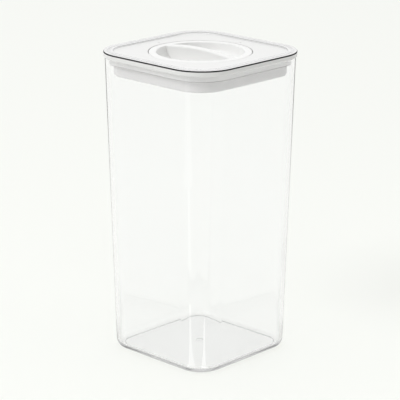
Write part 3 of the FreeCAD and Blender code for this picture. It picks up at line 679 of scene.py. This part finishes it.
def clear_finish(name, tint, roughness, drift, waviness, refraction, ends, outline=None):
    """Clear moulded material: its tint, how rough it is and how much that drifts, the depth of its waves,
    its refractive index, and by height the tones of trapped light and the strengths of the painted
    edge-on shade."""
    material, tree, shader = new_material(name)
    surface = add_node(tree, "Group", {"node_tree": surface_group}, Grain__Scale=WAVE_SCALE,
                       Roughness=roughness, Drift=drift)
    shader.inputs["Base Color"].default_value = (*tint, 1)
    shader.inputs["Transmission Weight"].default_value = 1.0
    shader.inputs["IOR"].default_value = refraction
    bump = add_node(tree, "Bump", Height=surface.outputs["Height"], Strength=WAVE_STRENGTH,
                    Distance=waviness)
    tree.links.new(surface.outputs["Roughness"], shader.inputs["Roughness"])
    tree.links.new(bump.outputs["Normal"], shader.inputs["Normal"])

    place = add_node(tree, "TexCoord")
    height = add_node(tree, "SeparateXYZ", Vector=place.outputs["Object"])
    level = calculate(tree, "DIVIDE", height.outputs["Z"], MOUTH * MM)
    path = add_node(tree, "LightPath")
    trapped = calculate(tree, "GREATER_THAN", path.outputs["Glossy Depth"], TRAPPED_AFTER)
    freed = add_node(tree, "Emission", Color=add_ramp(tree, level, ends))
    seen = mix_shaders(tree, trapped, shader.outputs["BSDF"], freed.outputs["Emission"])
    # painted shade: a dark line drawn where the camera sees the wall edge on
    if outline:
        seen = paint_edge_on_shade(tree, level, seen, outline)

    asks_for_light = calculate(tree, "MAXIMUM", path.outputs["Is Shadow Ray"],
                               path.outputs["Is Diffuse Ray"])
    through = add_node(tree, "BsdfTransparent", Color=add_ramp(tree, level, PASS_TONES))
    whole = mix_shaders(tree, asks_for_light, seen, through.outputs["BSDF"])
    tree.links.new(whole, tree.nodes["Material Output"].inputs["Surface"])
    return material


clear_plastic = clear_finish("clear_wall_plastic", (0.995, 0.998, 0.997), 0.015, 0.02, 0.00001, 1.57,
                             WALL_ENDS, PAINTED_EDGE_ON_SHADE_STRENGTHS)
print("clear wall:", len(clear_plastic.node_tree.nodes), "nodes")

# %% [markdown]
# The frame of the lid is clear too, but its upright outer edge is the dark line in the photograph: seen from
# the side, the edge shows only what is deep inside the plastic. That darkness is painted shade here: the edge
# gets a dark matt skin on its outside, and stays clear for light that comes from within.

# %% Clear frame and its painted dark edge
# painted shade: tone of the dark skin on the frame's outer edge
FRAME_EDGE_PAINTED_SHADE_TONE = 0.025
FRAME_LOOK = ((0.995, 0.997, 1.0), 0.02, 0.02, 0.00001, 1.49, FRAME_ENDS)


def paint_shade_outside(material, tone):
    """Painted shade: a dark matt skin on the outside of a material."""
    tree = material.node_tree
    surface = tree.nodes["Material Output"].inputs["Surface"]
    clear = surface.links[0].from_socket
    side = add_node(tree, "NewGeometry")
    dark = add_node(tree, "BsdfDiffuse", Color=(tone, tone, tone, 1))
    both = mix_shaders(tree, side.outputs["Backfacing"], dark.outputs["BSDF"], clear)
    tree.links.new(both, surface)
    return material


frame_plastic = clear_finish("clear_frame_plastic", *FRAME_LOOK)
painted_shade_edge_plastic = paint_shade_outside(clear_finish("frame_edge_painted_shade", *FRAME_LOOK), FRAME_EDGE_PAINTED_SHADE_TONE)
print("frame finishes:", frame_plastic.name, painted_shade_edge_plastic.name)

# %% [markdown]
# ## Dressing every piece
#
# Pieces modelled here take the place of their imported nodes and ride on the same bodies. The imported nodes
# that stay only get a finish.

# %% Dress and attach
MODELLED = [
    (canister, clear_plastic, "canister", "canister_body", "clear_plastic"),
    (rim_frame, frame_plastic, "lid", "rim_frame", "frame_plastic"),
    (gasket, silicone, "lid", "gasket", "silicone"),
    (dial, dial_plastic, "dial", "dial", "dial_plastic"),
    (ring, seal_rubber, "dial", "dial_seal", "seal_rubber"),
]
for piece, material, body, node, slot in MODELLED:
    piece.data.materials.clear()
    piece.data.materials.append(material)
    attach(piece, body)
    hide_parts(node)

CARRIED = {"lid_body": white_plastic, "pressure_plate": plate_plastic, "cam_disc": inner_plastic,
           "hook_ring": inner_plastic, "cam_screws": screw_steel, "ring_screws": screw_steel,
           "thrust_washer": washer_plastic}
for node, material in CARRIED.items():
    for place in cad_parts[node].material_slots:
        place.material = material
print("dressed", len(MODELLED), "modelled and", len(CARRIED), "carried pieces")

# %% [markdown]
# The painted dark skin belongs only on the faces of the frame that look outwards, above the lid's panel. They
# are picked by their normals and their places, and get the frame's second finish, the painted shade.

# %% Painted dark edge of the frame
UPRIGHT_BELOW = 0.8
STRAIGHT_REACH, CORNER_REACH = 0.9 * FRAME_OUTER, 62.0


def on_outer_edge(face):
    """True for a face of the frame that looks outwards, at its outer edge and above the lid's panel."""
    outwards = abs(face.normal.z) < UPRIGHT_BELOW and face.normal.xy.dot(face.center.xy) > 0
    at_side = max(abs(face.center.x), abs(face.center.y)) > STRAIGHT_REACH * MM
    at_corner = face.center.xy.length > CORNER_REACH * MM
    return outwards and (at_side or at_corner) and face.center.z > PANEL * MM


# painted shade: the outward faces of the frame get the dark skin
rim_frame.data.materials.append(painted_shade_edge_plastic)
edge_faces = [face for face in rim_frame.data.polygons if on_outer_edge(face)]
for face in edge_faces:
    face.material_index = 1
print("dark edge:", len(edge_faces), "of", len(rim_frame.data.polygons), "faces")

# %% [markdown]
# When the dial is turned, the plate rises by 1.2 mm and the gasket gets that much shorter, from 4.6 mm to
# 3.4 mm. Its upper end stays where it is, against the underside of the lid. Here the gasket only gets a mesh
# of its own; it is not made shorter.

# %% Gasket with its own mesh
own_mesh(gasket)

# %% [markdown]
# ## Floor
#
# The photograph has no horizon: floor and backdrop are one pale tone. A wide floor that glows a little keeps
# that tone even. It is slightly yellower where the camera sees it than in what it lends to the canister,
# as the photograph's backdrop is next to the neutral greys of the lid.

# %% Floor
FLOOR_SIDE = 60.0
FLOOR_COLOUR, FLOOR_ROUGHNESS = (0.6, 0.61, 0.585, 1), 0.7
GLOW_LENT, GLOW_SEEN, GLOW_STRENGTH = (0.945, 0.935, 0.935, 1), (0.945, 0.955, 0.915, 1), 0.31
let_go()
bpy.ops.mesh.primitive_plane_add(size=FLOOR_SIDE, location=(0, 0, -SKIN * MM))
floor = bpy.context.object
floor.name = "floor"
floor_material, floor_tree, floor_shader = new_material("pale_floor")
floor_shader.inputs["Base Color"].default_value = FLOOR_COLOUR
floor_shader.inputs["Roughness"].default_value = FLOOR_ROUGHNESS
floor_path = add_node(floor_tree, "LightPath")
glow = mix_colours(floor_tree, floor_path.outputs["Is Camera Ray"], GLOW_LENT, GLOW_SEEN)
floor_tree.links.new(glow, floor_shader.inputs["Emission Color"])
floor_shader.inputs["Emission Strength"].default_value = GLOW_STRENGTH
floor.data.materials.append(floor_material)
print("floor:", FLOOR_SIDE, "m wide")

# %% [markdown]
# ## Surroundings
#
# The surroundings are a pale sky that gets darker from high behind the canister down to the front. What
# lights matt surfaces and what shows in clear and polished ones are set apart. The first is a long soft
# fall. The second is pale almost everywhere, with a short dark band low in front, because clear edges only
# show where they bend something darker into view. Both are ramps along one axis, which leans away from the
# camera.

# %% Surroundings
BACKDROP_LEAN = (0.36, 0.36, 1.0)
LIT_TONES = ((0.1, 0.03), (0.7, 1.0))
MIRRORED_TONES = ((0.3, 0.03), (0.45, 0.93))
SKY_STRENGTH = 1.05
world = bpy.data.worlds.new("studio")
bpy.context.scene.world = world
world.use_nodes = True
sky_tree = world.node_tree
direction = add_node(sky_tree, "TexCoord")
up_and_back = add_node(sky_tree, "VectorMath", {"operation": "DOT_PRODUCT"})
feed(sky_tree, direction.outputs["Generated"], up_and_back.inputs[0])
feed(sky_tree, BACKDROP_LEAN, up_and_back.inputs[1])
lit = add_ramp(sky_tree, up_and_back.outputs["Value"], LIT_TONES)
half_up = calculate(sky_tree, "MULTIPLY_ADD", up_and_back.outputs["Value"], 0.5, 0.5)
mirrored = add_ramp(sky_tree, half_up, MIRRORED_TONES)
sky_path = add_node(sky_tree, "LightPath")
sky = mix_colours(sky_tree, sky_path.outputs["Is Diffuse Ray"], mirrored, lit)
background = sky_tree.nodes["Background"]
sky_tree.links.new(sky, background.inputs["Color"])
background.inputs["Strength"].default_value = SKY_STRENGTH
print("surroundings:", world.name)

# %% [markdown]
# ## Lamps
#
# A large softbox stands high on the left, on the camera's side, and shapes the dial and its pockets. A
# small one hangs close above and in front of the lid, so that the near half of the lid is the brightest.


# %% Softboxes
def add_area(name, place, watts):
    """Area light of a name and a power."""
    bpy.ops.object.light_add(type="AREA", location=place)
    lamp = bpy.context.object
    lamp.name = name
    lamp.data.energy = watts
    return lamp


def add_softbox(name, place, side, watts):
    """Square area light that looks at the canister."""
    lamp = add_area(name, place, watts)
    lamp.data.shape = "SQUARE"
    lamp.data.size = side
    lamp.rotation_euler = (CAMERA_TARGET - Vector(place)).to_track_quat("-Z", "Y").to_euler()


add_softbox("key_softbox", (-4.8, 0.9, 4.2), 2.4, 135.0)
add_softbox("front_softbox", (-0.28, -0.28, 0.55), 0.2, 0.3)

# %% [markdown]
# Two upright streaks of light mark the front corner in the photograph. They are reflections of something
# narrow and bright beside the canister. Seen from above, an upright wall mirrors the table and not the
# room, so the strips that stand in for it lie on the table and point away from the corner. They are only
# seen as reflections, and light nothing else. A strip that is near draws the lower part of a streak, and one
# that is far draws the upper part, wider and paler.

# %% Strips
STRIP_HEIGHT = 0.001
LEFT_LINE = -0.0374


def add_strip(name, start, finish, width, radiance):
    """Narrow light that lies on the table between two places."""
    start, finish = Vector(start), Vector(finish)
    along = finish - start
    lamp = add_area(name, (*((start + finish) / 2), STRIP_HEIGHT),
                    radiance * math.pi * along.length * width)
    lamp.data.shape = "RECTANGLE"
    lamp.data.size = along.length
    lamp.data.size_y = width
    lamp.rotation_euler = (math.pi, 0, math.atan2(along.y, along.x))
    lamp.visible_camera = lamp.visible_diffuse = lamp.visible_transmission = False


add_strip("left_strip_near", (-0.052, LEFT_LINE), (-0.165, LEFT_LINE), 0.012, 1.7)
add_strip("left_strip_middle", (-0.23, LEFT_LINE), (-0.42, LEFT_LINE), 0.05, 0.7)
add_strip("left_strip_far", (-0.42, LEFT_LINE), (-0.95, LEFT_LINE), 0.2, 0.45)
add_strip("front_strip", (-0.043, -0.047), (-0.0919, -0.1237), 0.007, 2.4)

# %% [markdown]
# ## Closing
#
# Tones are shown as they come out, without a film curve, because nearly all of the photograph is pale and a
# curve would press those tones together. The visual model has to stay inside the box of the imported one.

# %% Tones
bpy.context.scene.view_settings.view_transform = "Standard"
print("tones:", bpy.context.scene.view_settings.view_transform)
